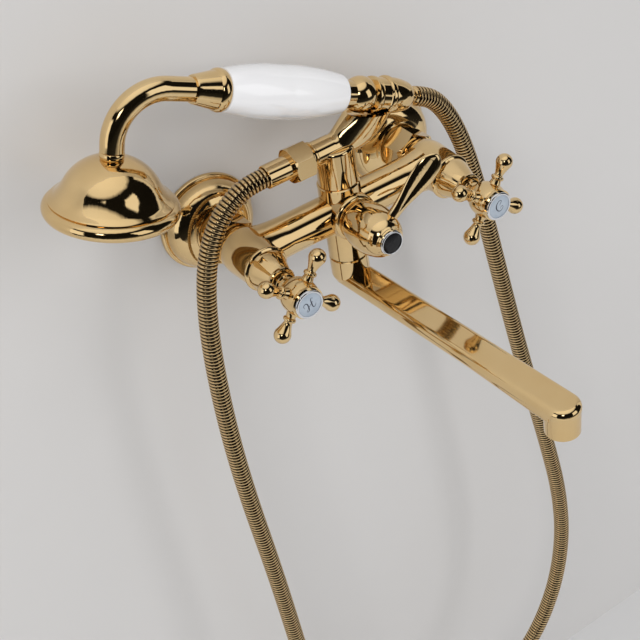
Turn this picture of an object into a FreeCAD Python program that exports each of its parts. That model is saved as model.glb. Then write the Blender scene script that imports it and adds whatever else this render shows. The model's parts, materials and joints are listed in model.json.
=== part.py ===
import FreeCAD, Part
import math
import os

# Wall mounted bath mixer with a hand shower on a cradle and a swinging spout.
# Millimetres.  The wall is the plane Y = 0 and the mixer stands out from it towards -Y.
# X = 0 is midway between the two inlets and Z = 0 is the height of the inlets.

V = FreeCAD.Vector

# ---------------------------------------------------------------- driving dimensions
INLET_SPACING = 150.0       # centres of the hot and cold inlets
BODY_OUT = 55.0             # wall to the axis of the mixing tube
RUN_GAP = 0.05              # radial clearance of a shaft in its bore
CLEAR = 0.3                 # free clearance between pieces that move apart
SEAT_GAP = 0.1              # clearance between two sliding faces

# wall side
WALL_THREAD_R = 10.48       # G 1/2 thread into the wall
WALL_THREAD_L = 18.0
UNION_THREAD_R = 13.2       # G 3/4 thread under the union nut
UNION_BORE_R = 7.5
UNION_SHANK_R = 12.4        # plain length of the union behind its thread
UNION_END = 31.0            # wall to the sealing end of the wall union
WASHER_T = 2.5
NUT_FLATS = 30.0            # across the flats of the union nut
NUT_START = 21.0
NUT_LIP_T = 3.0
ROSETTE_R = 35.0
ROSETTE_DEPTH = 18.5
ROSETTE_SKIN = 1.6

# body casting
TUBE_R = 13.6               # mixing tube, outside
TUBE_BORE_R = 9.5
ELBOW_R = 16.2              # fattest part of an elbow
ELBOW_FRONT = BODY_OUT + 21.0  # to the front rim of an elbow
ELBOW_FRONT_R = 14.6
TAIL_R = 11.2               # neck of the elbow inside the union nut
TAIL_FLANGE_T = 2.5
HUB_R = 17.0                # hub in the middle of the tube
TOWER_SEAT_Z = 12.0         # top of the hub, under the tower collar
TOWER_R = 13.4
SPOUT_SEAT_Z = -36.0        # bottom of the hub, over the spout
NECK_R = 13.5
DIVERTER_FRONT = BODY_OUT + 18.0  # to the face behind the diverter knob
DIVERTER_BOSS_R = 16.5

# valves
CARTRIDGE_R = 9.8
CARTRIDGE_SEAT = BODY_OUT + 4.0  # to the bottom of a valve socket
SEAL_T = 2.2
DISC_R = 7.6
DISC_T = 2.5
SPINDLE_R = 4.0
CARTRIDGE_HEX_T = 4.0
CARTRIDGE_HEX_FLATS = 21.0
CARTRIDGE_NOSE_R = 6.6
BONNET_TIP = BODY_OUT + 42.0  # to the narrow end of a bonnet
BONNET_TIP_R = 9.6
BONNET_WALL = 1.6

# cross handles
HANDLE_PLANE = BODY_OUT + 62.0  # to the plane of the four spokes
HANDLE_BACK = BODY_OUT + 43.0
HUB_FACE = BODY_OUT + 71.4
HANDLE_HUB_R = 12.0
SPOKE_BALL_AT = 27.2
SPOKE_BALL_R = 5.6
SPOKES = 4
LEFT_TURN = 37.8            # how far each cross is turned clockwise, seen from the front
RIGHT_TURN = 34.5
INDEX_RING_R = 9.9
INDEX_R = 8.3
INDEX_RING_T = 2.4
SCREW_R = 2.6
SCREW_HEAD_R = 4.4

# diverter
KNOB_R = 16.8
KNOB_FACE = BODY_OUT + 56.0
DIVERTER_INDEX_RING_R = 8.6
DIVERTER_INDEX_R = 7.4
DIVERTER_SEAT_DEPTH = 14.0  # how far the cartridge socket goes behind the boss face
DIVERTER_CARTRIDGE_R = 10.0
DIVERTER_NOSE_R = 6.0
DIVERTER_NOSE_L = 8.0
LEVER_ANGLE = 45.0          # from straight up towards +X
LEVER_TIP = 63.0
LEVER_W = 16.4              # widest part of the leaf
LEVER_GROOVE = 1.5          # depth of the groove along its front

# tower, shower outlet and cradle
COLLAR_R = 14.5
COLLAR_H = 10.0
TOWER_SPIGOT_R = 10.9       # foot of the column, inside the collar
TOWER_WASHER_T = 2.0
RISER_R = 6.0               # water way up the tower
OUTLET_Z = 48.5             # height of the cross pipe over the body axis
PIPE_R = 8.6
PIPE_BORE_R = 5.0
PIPE_END_X = -20.0
OUTLET_THREAD_R = 8.4
OUTLET_THREAD_L = 11.0
HOSE_NUT_FLATS = 23.0
HOSE_NUT_L = 14.5
FERRULE_R = 8.0
FERRULE_L = 18.0

# hand shower, in its own frame: X along the grip towards the hose, Z away from the spray
HANDSET_AT = V(28.5, -BODY_OUT, 74.4)     # middle of the ball that rests in the cradle
HANDSET_PITCH = 24.0
BALL_R = 12.0
BALL_AT = -3.5               # its middle, along the grip
REAR_RING_R = 12.9          # widest ring that lies in the cradle
GRIP_START, GRIP_END = -108.0, -20.0
FRONT_FERRULE_L = 21.0
GRIP_R_FRONT, GRIP_R_MID, GRIP_R_REAR = 13.3, 16.8, 12.4
CORE_R = 6.5
GOOSE_R = 7.4
GOOSE_WALL = 1.5
GOOSE_BEND_R = 30.0
GOOSE_BEND_AT = -145.5      # where the gooseneck starts to bend
HEAD_LEAN = 8.8             # how far the gooseneck bends past a right angle
GOOSE_DROP = 8.5            # its straight end, above the head
HEAD_DOME_R = 28.6          # in the head's own frame Z = 0 is the top of the dome
HEAD_FLARE_R = 35.0         # foot of the dome, where it flares out to the lip
HEAD_SHOULDER = 10.6        # how far over the lip the flare starts
HEAD_LIP_R = 37.6
HEAD_BAND_R = 41.0
HEAD_LIP_Z = -25.6
HEAD_BOTTOM_Z = -35.4
HEAD_SKIN = 1.8
CRADLE_RIM_Z = 66.4         # rim of the oval cradle, at its left end
CRADLE_RIM_DROP = 6.9       # how much lower it is at its right end
CRADLE_LEFT, CRADLE_RIGHT = 13.6, 46.0
CRADLE_HALF_W = 13.4
BALL_SEAT = 8.0             # where the ball piece meets the connector, along the grip
CONNECTOR_R = 11.6
CONNECTOR_END = 29.0        # end of the threaded tail, along the grip
HANDSET_WASHER_T = 1.6
HOSE_SEAT = 42.2            # where the hose leaves its ferrule, along the grip

# spout
SPOUT_TURN = 4.0            # how far the spout stands towards +X
SPOUT_REACH = 200.0
ARM_W = 23.6
ARM_T = 10.0
ARM_SWELL = 4.4             # how much thicker the arm is over its outlet
ARM_Z = -54.0               # middle of the arm
ARM_WALL = 2.0
OUTLET_R = 11.5
OUTLET_DROP = 13.8
SPIGOT_R = 9.0
SPIGOT_L = 14.0

# shower hose
HOSE_R = 6.7
HOSE_ROUTE_Y = -BODY_OUT

PARTS = {}


# ---------------------------------------------------------------- shape helpers
def flat(r, h):
    return V(r, 0, h)


def lathe(start, *steps):
    """Turn a closed outline about Z.  A step is (r, h), or ((r, h), (r, h)) for an arc
    through its first point to its second."""
    edges, here = [], start
    for step in steps + (start,):
        if isinstance(step[0], tuple):
            through, there = step
            edges.append(Part.Arc(flat(*here), flat(*through), flat(*there)).toShape())
        else:
            there = step
            if math.dist(here, there) > 1e-6:
                edges.append(Part.LineSegment(flat(*here), flat(*there)).toShape())
        here = there
    face = Part.Face(Part.Wire(edges))
    return face.revolve(V(0, 0, 0), V(0, 0, 1), 360)


def ring(r_out, r_in, low, high):
    return lathe((r_in, low), (r_out, low), (r_out, high), (r_in, high))


def rod(r, low, high):
    return Part.makeCylinder(r, high - low, V(0, 0, low))


def hexagon(flats, low, high, turn=0.0):
    """A hexagonal bar along Z with its corners turned off at both ends."""
    corner = flats / math.sqrt(3)
    points = [V(corner * math.cos(math.radians(60 * i + turn)),
                corner * math.sin(math.radians(60 * i + turn)), low) for i in range(7)]
    bar = Part.Face(Part.makePolygon(points)).extrude(V(0, 0, high - low))
    cut = corner - flats / 2
    barrel = lathe((0, low), (flats / 2, low), (corner, low + cut * 0.8),
                   (corner, high - cut * 0.8), (flats / 2, high), (0, high))
    return bar.common(barrel)


def outward(shape, x=0.0, z=0.0):
    """Lay a turned shape along -Y, so that its heights are distances from the wall."""
    shape = shape.copy()
    shape.rotate(V(0, 0, 0), V(1, 0, 0), 90)
    shape.translate(V(x, 0, z))
    return shape


def along_x(shape, y=0.0, z=0.0):
    """Lay a turned shape along +X, so that its heights are X places."""
    shape = shape.copy()
    shape.rotate(V(0, 0, 0), V(0, 1, 0), 90)
    shape.translate(V(0, y, z))
    return shape


def upward(shape, x=0.0, y=0.0):
    shape = shape.copy()
    shape.translate(V(x, y, 0))
    return shape


def on_handset(shape):
    """Move a shape from the hand shower's frame to its place on the cradle."""
    shape = shape.copy()
    shape.rotate(V(0, 0, 0), V(0, 1, 0), HANDSET_PITCH)
    shape.translate(HANDSET_AT)
    return shape


def fused(*shapes):
    return shapes[0].multiFuse(list(shapes[1:])).removeSplitter()


def add(name, shape):
    PARTS[name] = shape


# ---------------------------------------------------------------- wall side
def wall_union():
    return lathe((UNION_BORE_R, -WALL_THREAD_L), (WALL_THREAD_R - 1, -WALL_THREAD_L),
                 (WALL_THREAD_R, 1 - WALL_THREAD_L), (WALL_THREAD_R, 0), (UNION_SHANK_R, 0),
                 (UNION_SHANK_R, ROSETTE_DEPTH + CLEAR), (UNION_THREAD_R, ROSETTE_DEPTH + CLEAR),
                 (UNION_THREAD_R, UNION_END), (UNION_BORE_R, UNION_END))


def rosette():
    hole = UNION_SHANK_R + CLEAR
    top, skin = ROSETTE_DEPTH, ROSETTE_SKIN
    dome_r = ROSETTE_R - 2.6
    return lathe((ROSETTE_R - skin, 0), (ROSETTE_R, 0), (ROSETTE_R, 1.6),
                 ((ROSETTE_R - 0.7, 2.9), (dome_r, 3.2)),
                 ((dome_r - 3.2, 13.2), (18.0, 18.6)),
                 ((15.6, 19.1), (14.2, top)), (hole, top), (hole, top - skin),
                 ((hole + 2.2, 17.5), (17.2, 17.2)),
                 ((dome_r - 4.6, 11.9), (dome_r - skin, 2.2)), (ROSETTE_R - skin, 1.4))


def union_nut():
    end = UNION_END + WASHER_T + TAIL_FLANGE_T
    shell = hexagon(NUT_FLATS, NUT_START, end + NUT_LIP_T, 30)
    return shell.cut(rod(UNION_THREAD_R, NUT_START - 1, end)).cut(
        rod(TAIL_R + RUN_GAP, end - 1, end + NUT_LIP_T + 1))


def inlet_washer():
    return ring(UNION_THREAD_R - 0.4, UNION_BORE_R, UNION_END, UNION_END + WASHER_T)


# ---------------------------------------------------------------- body casting
def elbow_outside():
    back = UNION_END + WASHER_T
    lip_end = back + TAIL_FLANGE_T + NUT_LIP_T
    return lathe((0, back), (UNION_THREAD_R - 0.1, back),
                 (UNION_THREAD_R - 0.1, back + TAIL_FLANGE_T), (TAIL_R, back + TAIL_FLANGE_T),
                 (TAIL_R, lip_end + 0.4), (13.2, lip_end + 0.4),
                 ((ELBOW_R - 0.8, lip_end + 6.5), (ELBOW_R, BODY_OUT)),
                 ((ELBOW_R - 0.7, BODY_OUT + 11), (ELBOW_FRONT_R, ELBOW_FRONT)),
                 (0, ELBOW_FRONT))


def elbow_bore():
    back = UNION_END + WASHER_T - 1
    return fused(rod(UNION_BORE_R, back, CARTRIDGE_SEAT - 4),
                 rod(CARTRIDGE_R - 3.8, CARTRIDGE_SEAT - 5, CARTRIDGE_SEAT + 1),
                 rod(CARTRIDGE_R, CARTRIDGE_SEAT, ELBOW_FRONT + 1))


def body_casting():
    half = INLET_SPACING / 2
    tube = along_x(rod(TUBE_R, -half, half), -BODY_OUT)
    rise = ELBOW_R - 0.4 - TUBE_R
    shoulders = [along_x(lathe((0, s * (half - 8)), (TUBE_R + rise, s * (half - 8)),
                               ((TUBE_R + 0.36 * rise, s * (half - 17)), (TUBE_R, s * (half - 28))),
                               (0, s * (half - 28))), -BODY_OUT) for s in (-1, 1)]
    hub = Part.makeSphere(HUB_R).common(rod(HUB_R + 1, -HUB_R - 1, TOWER_SEAT_Z))
    hub = upward(hub, 0, -BODY_OUT)
    column = upward(lathe((0, SPOUT_SEAT_Z), (NECK_R - 0.8, SPOUT_SEAT_Z),
                          (NECK_R, SPOUT_SEAT_Z + 0.8), (NECK_R, -14),
                          ((HUB_R - 1.2, -8), (HUB_R, 0)), ((15.6, 6.4), (TOWER_R, TOWER_SEAT_Z)),
                          (0, TOWER_SEAT_Z)), 0, -BODY_OUT)
    boss = outward(lathe((0, BODY_OUT), (DIVERTER_BOSS_R, BODY_OUT),
                         (DIVERTER_BOSS_R, DIVERTER_FRONT - 3),
                         ((DIVERTER_BOSS_R - 0.9, DIVERTER_FRONT - 0.9),
                          (DIVERTER_BOSS_R - 3, DIVERTER_FRONT)), (0, DIVERTER_FRONT)))
    elbows = [outward(elbow_outside(), s * half) for s in (-1, 1)]
    solid = fused(tube, hub, column, boss, *shoulders, *elbows)
    socket_floor = DIVERTER_FRONT - DIVERTER_SEAT_DEPTH
    bores = [along_x(rod(TUBE_BORE_R, -half, half), -BODY_OUT),
             upward(rod(SPIGOT_R + RUN_GAP, SPOUT_SEAT_Z - 1, SPOUT_SEAT_Z + SPIGOT_L + 1), 0, -BODY_OUT),
             upward(rod(RISER_R, SPOUT_SEAT_Z, TOWER_SEAT_Z + 1), 0, -BODY_OUT),
             outward(rod(DIVERTER_CARTRIDGE_R, socket_floor, DIVERTER_FRONT + 1))]
    bores += [outward(elbow_bore(), s * half) for s in (-1, 1)]
    bores += [upward(rod(COLLAR_R + SEAT_GAP, TOWER_SEAT_Z, TOWER_SEAT_Z + COLLAR_H), 0, -BODY_OUT)]
    return solid.cut(bores[0].multiFuse(bores[1:]))


# ---------------------------------------------------------------- valves
def seat_seal():
    return ring(CARTRIDGE_R - 0.1, CARTRIDGE_R - 3.8, CARTRIDGE_SEAT, CARTRIDGE_SEAT + SEAL_T)


def disc_levels():
    fixed = CARTRIDGE_SEAT + SEAL_T
    moving = fixed + DISC_T + SEAT_GAP
    return fixed, moving


def ported_disc(low, port_side):
    disc = ring(DISC_R, 1.6, low, low + DISC_T)
    return disc.cut(Part.makeCylinder(2.2, DISC_T + 2, V(port_side * 4.6, 0, low - 1)))


def cartridge_housing():
    fixed, moving = disc_levels()
    chamber_end = moving + DISC_T + 2.2
    hex_end = ELBOW_FRONT + CARTRIDGE_HEX_T
    barrel = fused(rod(CARTRIDGE_R - 0.05, fixed, ELBOW_FRONT),
                   hexagon(CARTRIDGE_HEX_FLATS, ELBOW_FRONT, hex_end),
                   rod(CARTRIDGE_NOSE_R, hex_end, BONNET_TIP - 1.5))
    for low, high, r in ((fixed - 1, chamber_end, DISC_R + RUN_GAP),
                         (chamber_end - 1, BONNET_TIP, SPINDLE_R + RUN_GAP)):
        barrel = barrel.cut(rod(r, low, high))
    return barrel


def spindle():
    moving = disc_levels()[1]
    foot = moving + DISC_T
    return fused(rod(DISC_R, foot, foot + 1.9), rod(SPINDLE_R, foot, HANDLE_PLANE - 4))


def bonnet():
    back, tip, wall = ELBOW_FRONT, BONNET_TIP, BONNET_WALL
    return lathe((ELBOW_FRONT_R - 2, back), (ELBOW_FRONT_R + 0.6, back),
                 ((ELBOW_FRONT_R + 1.2, back + 1.2), (ELBOW_FRONT_R + 0.5, back + 2.4)),
                 (ELBOW_FRONT_R - 0.6, back + 3.0), (ELBOW_FRONT_R - 0.9, back + 5.0),
                 ((10.9, back + 13), (BONNET_TIP_R - 0.6, tip - 3.0)),
                 (BONNET_TIP_R, tip - 2.4), (BONNET_TIP_R, tip - 0.6), (BONNET_TIP_R - 0.6, tip),
                 (CARTRIDGE_NOSE_R + CLEAR, tip),
                 (CARTRIDGE_NOSE_R + CLEAR, tip - 3), (CARTRIDGE_NOSE_R + 1, tip - 4),
                 ((10.9 - wall, back + 12.5), (ELBOW_FRONT_R - 0.9 - wall, back + 4.8)))


# ---------------------------------------------------------------- cross handles
def spoke():
    """One arm of a cross along +Z: a taper, a bead and a drop that ends in a ball."""
    at, ball = SPOKE_BALL_AT, SPOKE_BALL_R
    return lathe((0, 4), (5.2, 4), (5.2, 8.5), ((3.9, 11.6), (3.1, 14.6)),
                 ((4.3, 16.1), (3.0, 17.5)), (2.8, 18.4), ((3.5, 20.9), (4.9, at - 2.7)),
                 ((ball, at), (4.4, at + 3.46)), ((2.5, at + 5.0), (0.7, at + ball - 0.05)), (0, at + ball - 0.05))


def cross_handle(turn):
    hub = outward(lathe((0, HANDLE_BACK), (6.6, HANDLE_BACK), (6.9, HANDLE_BACK + 0.5),
                        (6.9, HANDLE_BACK + 2.5), (5.9, HANDLE_BACK + 3.2),
                        (5.9, HANDLE_BACK + 6.0), (9.0, HANDLE_BACK + 9.5),
                        ((HANDLE_HUB_R - 0.6, HANDLE_PLANE - 5), (HANDLE_HUB_R, HANDLE_PLANE)),
                        ((HANDLE_HUB_R - 0.5, HANDLE_PLANE + 4.4), (HANDLE_HUB_R - 1.4, HUB_FACE - 2.2)),
                        (HANDLE_HUB_R - 1.0, HUB_FACE - 1.5), (HANDLE_HUB_R - 1.1, HUB_FACE),
                        (0, HUB_FACE)))
    arms = []
    for i in range(SPOKES):
        arm = spoke()
        arm.rotate(V(0, 0, 0), V(0, 1, 0), 360.0 * i / SPOKES)
        arm.translate(V(0, -HANDLE_PLANE, 0))
        arms.append(arm)
    solid = fused(hub, *arms)
    for low, high, r in ((HANDLE_BACK - 1, HANDLE_PLANE - 4, SPINDLE_R),
                         (HANDLE_PLANE - 5, HANDLE_PLANE, SCREW_R),
                         (HANDLE_PLANE, HUB_FACE + 1, INDEX_RING_R - 0.9)):
        solid = solid.cut(outward(rod(r, low, high)))
    solid.rotate(V(0, 0, 0), V(0, 1, 0), turn)
    return solid


def handle_screw():
    head = outward(rod(SCREW_HEAD_R, HANDLE_PLANE, HANDLE_PLANE + 3.0))
    shank = outward(rod(SCREW_R, HANDLE_PLANE - 4, HANDLE_PLANE))
    slot = Part.makeBox(10, 2, 1.0, V(-5, -HANDLE_PLANE - 3.5, -0.5))
    return fused(head, shank).cut(slot)


def index_ring(r_out, r_in, seat, thick):
    """Bright ring around an index, with a spigot that sits in its hub."""
    return outward(lathe((r_in, seat), (r_out, seat), (r_out, seat + thick - 0.9),
                         ((r_out - 0.3, seat + thick - 0.2), (r_out - 0.9, seat + thick)),
                         (r_in, seat + thick)))


def index_button(r, seat, thick, crown):
    return outward(lathe((0, seat - 1.6), (r, seat - 1.6), (r, seat + thick - 0.5),
                         ((r / 2, seat + thick + crown * 0.75 - 0.5), (0.6, seat + thick + crown - 0.5)),
                         (0, seat + thick + crown - 0.5)))


# ---------------------------------------------------------------- diverter
def diverter_housing():
    floor = DIVERTER_FRONT - DIVERTER_SEAT_DEPTH
    body = fused(rod(DIVERTER_CARTRIDGE_R - 0.05, floor + 3.0, DIVERTER_FRONT),
                 rod(DIVERTER_NOSE_R, DIVERTER_FRONT, DIVERTER_FRONT + DIVERTER_NOSE_L))
    return outward(body.cut(rod(SPINDLE_R + RUN_GAP, floor, DIVERTER_FRONT + DIVERTER_NOSE_L + 2)))


def diverter_spindle():
    floor = DIVERTER_FRONT - DIVERTER_SEAT_DEPTH
    return outward(fused(rod(7.4, floor + 0.6, floor + 2.9 - SEAT_GAP),
                         rod(SPINDLE_R, floor + 2, KNOB_FACE - 12)))


def diverter_knob():
    back = DIVERTER_FRONT + CLEAR
    solid = lathe((DIVERTER_NOSE_R + CLEAR, back), (12.8, back), (13.6, back + 0.8),
                  ((KNOB_R, KNOB_FACE - 22.0), (14.6, KNOB_FACE - 9.0)),
                  ((13.0, KNOB_FACE - 5.2), (10.6, KNOB_FACE - 2.2)),
                  (10.0, KNOB_FACE - 1.2), (9.6, KNOB_FACE - 1.2),
                  (DIVERTER_INDEX_RING_R + 0.4, KNOB_FACE - 0.2), (0, KNOB_FACE - 0.2),
                  (0, back + DIVERTER_NOSE_L + 0.6), (DIVERTER_NOSE_R + CLEAR, back + DIVERTER_NOSE_L + 0.6))
    for low, high, r in ((DIVERTER_FRONT, KNOB_FACE - 12, SPINDLE_R),
                         (KNOB_FACE - 4, KNOB_FACE, DIVERTER_INDEX_R)):
        solid = solid.cut(rod(r, low, high))
    return outward(solid)


def lever_section(at, width, thick, out, lean):
    """An ellipse across the lever: WIDTH across, THICK from the wall outwards."""
    across = Part.Ellipse(V(0, 0, 0), width / 2, thick / 2).toShape()
    wire = Part.Wire([across])
    wire.rotate(V(0, 0, 0), V(0, 0, 1), -lean)
    wire.translate(V(0, -out, at))
    return wire


def groove_section(at, width, thick, out, lean, deep):
    """A triangle across the lever's front: its point lies DEEP under the crown of the leaf."""
    lean = math.radians(lean)
    front, across = V(-math.sin(lean), -math.cos(lean), 0), V(math.cos(lean), -math.sin(lean), 0)
    middle = V(0, -out, at)
    point = middle + front * (thick / 2 - deep)
    sides = [middle + front * (thick / 2 + 0.7) + across * (k * 0.43 * width) for k in (-1, 1)]
    return Part.makePolygon([point, sides[0], sides[1], point])


def diverter_lever():
    root = KNOB_FACE - 12.0
    tip, wide = LEVER_TIP, LEVER_W
    rows = ((9.0, 9.0, 7.4, 0.0, 0), (16.0, 8.4, 6.8, 1.0, 4), (24.0, 9.4, 6.0, 2.4, 10),
            (34.0, 0.78 * wide, 5.2, 4.2, 16), (44.0, 0.97 * wide, 4.8, 6.0, 20),
            (tip - 11.0, wide, 4.6, 7.2, 22), (tip - 4.5, 0.80 * wide, 4.0, 7.8, 22),
            (tip - 1.2, 0.46 * wide, 3.0, 8.0, 22), (tip, 0.20 * wide, 1.8, 8.1, 22))
    sections = [lever_section(at, width, thick, root + out, lean) for at, width, thick, out, lean in rows]
    blade = Part.makeLoft(sections, True)
    deep = (0, -0.3, 0.5, LEVER_GROOVE * 0.8, LEVER_GROOVE, LEVER_GROOVE, LEVER_GROOVE * 0.8, -0.3)
    cuts = [groove_section(at, width, thick, root + out, lean, d)
            for (at, width, thick, out, lean), d in list(zip(rows, deep))[1:]]
    blade = blade.cut(Part.makeLoft(cuts, True, True))
    blade.rotate(V(0, 0, 0), V(0, 1, 0), LEVER_ANGLE)
    return blade.cut(diverter_knob_outside())


def diverter_knob_outside():
    return fused(diverter_knob(), outward(rod(12.0, DIVERTER_FRONT + 1, KNOB_FACE - 4)))


# ---------------------------------------------------------------- tower, outlet and cradle
def tower_collar():
    low, high = TOWER_SEAT_Z, TOWER_SEAT_Z + COLLAR_H
    shape = lathe((TOWER_SPIGOT_R + 0.1, low), (COLLAR_R - 0.7, low), (COLLAR_R, low + 0.7),
                  (COLLAR_R, high - 0.7), (COLLAR_R - 0.7, high), (TOWER_SPIGOT_R + 0.1, high))
    return upward(shape, 0, -BODY_OUT)


def tower_washer():
    return upward(ring(TOWER_SPIGOT_R - 0.1, RISER_R, TOWER_SEAT_Z, TOWER_SEAT_Z + TOWER_WASHER_T), 0, -BODY_OUT)


def cradle_bore():
    return REAR_RING_R + CLEAR


def cradle_hollow():
    """The way of the hand shower's rings through the cradle."""
    return on_handset(along_x(rod(cradle_bore(), -40, 40)))


def neck_section(x, z, climb, tall, wide):
    """An oval across the horn at (x, z), where the horn climbs at that angle."""
    wire = Part.Wire([Part.Ellipse(V(0, 0, 0), tall, wide).toShape()])
    wire.rotate(V(0, 0, 0), V(0, 1, 0), 90 - climb)
    wire.translate(V(x, -BODY_OUT, z))
    return wire


def cradle_horn():
    """The cross pipe bends up and flares into an oval cup.  Each row is the top left and the
    bottom right of an oval across it, and half its width."""
    z, rim, r = OUTLET_Z, CRADLE_RIM_Z, PIPE_R
    rows = ((-4.0, z + r - 0.3, -4.0, z - r + 0.3, r - 0.4), (0.5, z + r + 0.1, 12.0, z - r - 0.1, r + 0.2),
            (2.6, z + 10.6, 26.0, z - 6.7, r + 1.2), (7.6, rim - 3.9, 38.0, rim - 16.9, r + 2.8),
            (CRADLE_LEFT, rim, CRADLE_RIGHT, rim - CRADLE_RIM_DROP, CRADLE_HALF_W))
    wires = []
    for xa, za, xb, zb, wide in rows:
        tall = math.hypot(xb - xa, zb - za) / 2
        climb = math.degrees(math.atan2(zb - za, xb - xa)) + 90
        wires.append(neck_section((xa + xb) / 2, (za + zb) / 2, climb, tall, wide))
    return Part.makeLoft(wires, True)


def cradle_column():
    low, top = TOWER_SEAT_Z + COLLAR_H, OUTLET_Z + 1.0
    cup = upward(fused(rod(TOWER_SPIGOT_R, TOWER_SEAT_Z + TOWER_WASHER_T, low + 1),
                       lathe((0, low), (TOWER_R - 0.5, low), (TOWER_R, low + 0.5), (TOWER_R, top - 2.4),
                             ((TOWER_R - 0.7, top - 0.7), (TOWER_R - 2.4, top)), (0, top))), 0, -BODY_OUT)
    pipe = along_x(lathe((0, PIPE_END_X), (PIPE_R + 0.9, PIPE_END_X), (PIPE_R + 0.9, PIPE_END_X + 1.0),
                         (PIPE_R, PIPE_END_X + 1.6), (PIPE_R + 0.9, PIPE_END_X + 2.4),
                         (PIPE_R + 0.9, PIPE_END_X + 3.4), (PIPE_R, PIPE_END_X + 4.2),
                         (PIPE_R, -2.0), (0, -2.0)), -BODY_OUT, OUTLET_Z)
    thread = along_x(rod(OUTLET_THREAD_R, PIPE_END_X - OUTLET_THREAD_L, PIPE_END_X), -BODY_OUT, OUTLET_Z)
    solid = fused(cup, pipe, thread, cradle_horn())
    solid = solid.cut(cradle_hollow())
    bore = along_x(rod(PIPE_BORE_R, PIPE_END_X - OUTLET_THREAD_L - 1, 3), -BODY_OUT, OUTLET_Z)
    rise = upward(rod(RISER_R, TOWER_SEAT_Z + 1, OUTLET_Z), 0, -BODY_OUT)
    return solid.cut(bore).cut(rise)


def hose_nut():
    """Hexagonal nut that draws the hose ferrule onto the shower outlet."""
    right = PIPE_END_X - CLEAR
    left = right - HOSE_NUT_L
    shell = hexagon(HOSE_NUT_FLATS, left, right, 0)
    shell = shell.cut(rod(OUTLET_THREAD_R, PIPE_END_X - OUTLET_THREAD_L, right + 1))
    shell = shell.cut(rod(FERRULE_R, left - 1, PIPE_END_X - OUTLET_THREAD_L + 1))
    return along_x(shell, -BODY_OUT, OUTLET_Z)


def outlet_ferrule():
    right = PIPE_END_X - OUTLET_THREAD_L - 1.5
    left = PIPE_END_X - CLEAR - HOSE_NUT_L - FERRULE_L
    shape = lathe((3.6, left), (FERRULE_R - 0.5, left), (FERRULE_R, left + 0.5), (FERRULE_R, right),
                  (3.6, right))
    return along_x(shape, -BODY_OUT, OUTLET_Z)


def outlet_washer():
    right = PIPE_END_X - OUTLET_THREAD_L
    return along_x(ring(7.8, 3.6, right - 1.5, right), -BODY_OUT, OUTLET_Z)


# ---------------------------------------------------------------- spout
def stadium(width, thick, reach, mid_z):
    """A bar with round ends from the spout's pivot out to its outlet."""
    r = width / 2
    edges = [Part.makeLine(V(r, 0, 0), V(r, -reach, 0)),
             Part.Arc(V(r, -reach, 0), V(0, -reach - r, 0), V(-r, -reach, 0)).toShape(),
             Part.makeLine(V(-r, -reach, 0), V(-r, 0, 0)),
             Part.Arc(V(-r, 0, 0), V(0, r, 0), V(r, 0, 0)).toShape()]
    bar = Part.Face(Part.Wire(edges)).extrude(V(0, 0, thick))
    bar.translate(V(0, 0, mid_z - thick / 2))
    return bar.makeFillet(thick * 0.44, bar.Edges)


def place_spout(shape):
    shape = shape.copy()
    shape.rotate(V(0, 0, 0), V(0, 0, 1), SPOUT_TURN)
    shape.translate(V(0, -BODY_OUT, 0))
    return shape


def arm_swell():
    """The arm thickens downwards on its way to the outlet."""
    low = ARM_T - 0.4
    rows = ((0.5, low, 0.0), (0.72, low + 0.3 * ARM_SWELL, 0.15), (0.9, low + 0.85 * ARM_SWELL, 0.42),
            (1.0, low + ARM_SWELL, 0.5))
    wires = []
    for share, thick, drop in rows:
        points = []
        for i in range(24):
            turn = math.radians(15 * i)
            c, s = math.cos(turn), math.sin(turn)
            points.append(V(math.copysign(abs(c) ** 0.6, c) * (ARM_W / 2 - 0.1), -SPOUT_REACH * share,
                            math.copysign(abs(s) ** 0.6, s) * thick / 2 + ARM_Z - drop * ARM_SWELL))
        curve = Part.BSplineCurve()
        curve.interpolate(points, PeriodicFlag=True)
        wires.append(Part.Wire([curve.toShape()]))
    return Part.makeLoft(wires, True)


def spout_arm():
    top = SPOUT_SEAT_Z - SEAT_GAP - 0.2
    bar = stadium(ARM_W, ARM_T, SPOUT_REACH, ARM_Z)
    neck = lathe((0, ARM_Z - 3), (NECK_R - 3, ARM_Z - 3), (NECK_R - 0.5, ARM_Z + 1), (NECK_R, ARM_Z + 3),
                 (NECK_R, top - 0.8), (NECK_R - 0.8, top), (0, top))
    spigot = rod(SPIGOT_R, top - 2, SPOUT_SEAT_Z + SPIGOT_L)
    outlet_low = ARM_Z - ARM_T / 2 - OUTLET_DROP
    outlet = lathe((0, outlet_low), (OUTLET_R - 1.2, outlet_low), (OUTLET_R - 0.3, outlet_low + 0.9),
                   (OUTLET_R, ARM_Z - 2), (0, ARM_Z - 2))
    outlet.translate(V(0, -SPOUT_REACH, 0))
    solid = fused(bar, arm_swell(), neck, spigot, outlet)
    channel = stadium(ARM_W - 2 * ARM_WALL, ARM_T - 2 * ARM_WALL, SPOUT_REACH, ARM_Z)
    down = rod(SPIGOT_R - 2.2, ARM_Z - 1, SPOUT_SEAT_Z + SPIGOT_L + 1)
    mouth = rod(OUTLET_R - 1.8, outlet_low - 1, ARM_Z)
    mouth.translate(V(0, -SPOUT_REACH, 0))
    solid = solid.cut(channel.multiFuse([down, mouth]))
    for z in oring_levels():
        solid = solid.cut(ring(SPIGOT_R + 1, SPIGOT_R - 1.2, z - 1.0, z + 1.0))
    return place_spout(solid)


def oring_levels():
    return [SPOUT_SEAT_Z + 4.0, SPOUT_SEAT_Z + 9.0]


def spout_orings():
    rings = [Part.makeTorus(SPIGOT_R - 0.6, 0.6, V(0, 0, z)) for z in oring_levels()]
    return place_spout(Part.makeCompound(rings))


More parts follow.
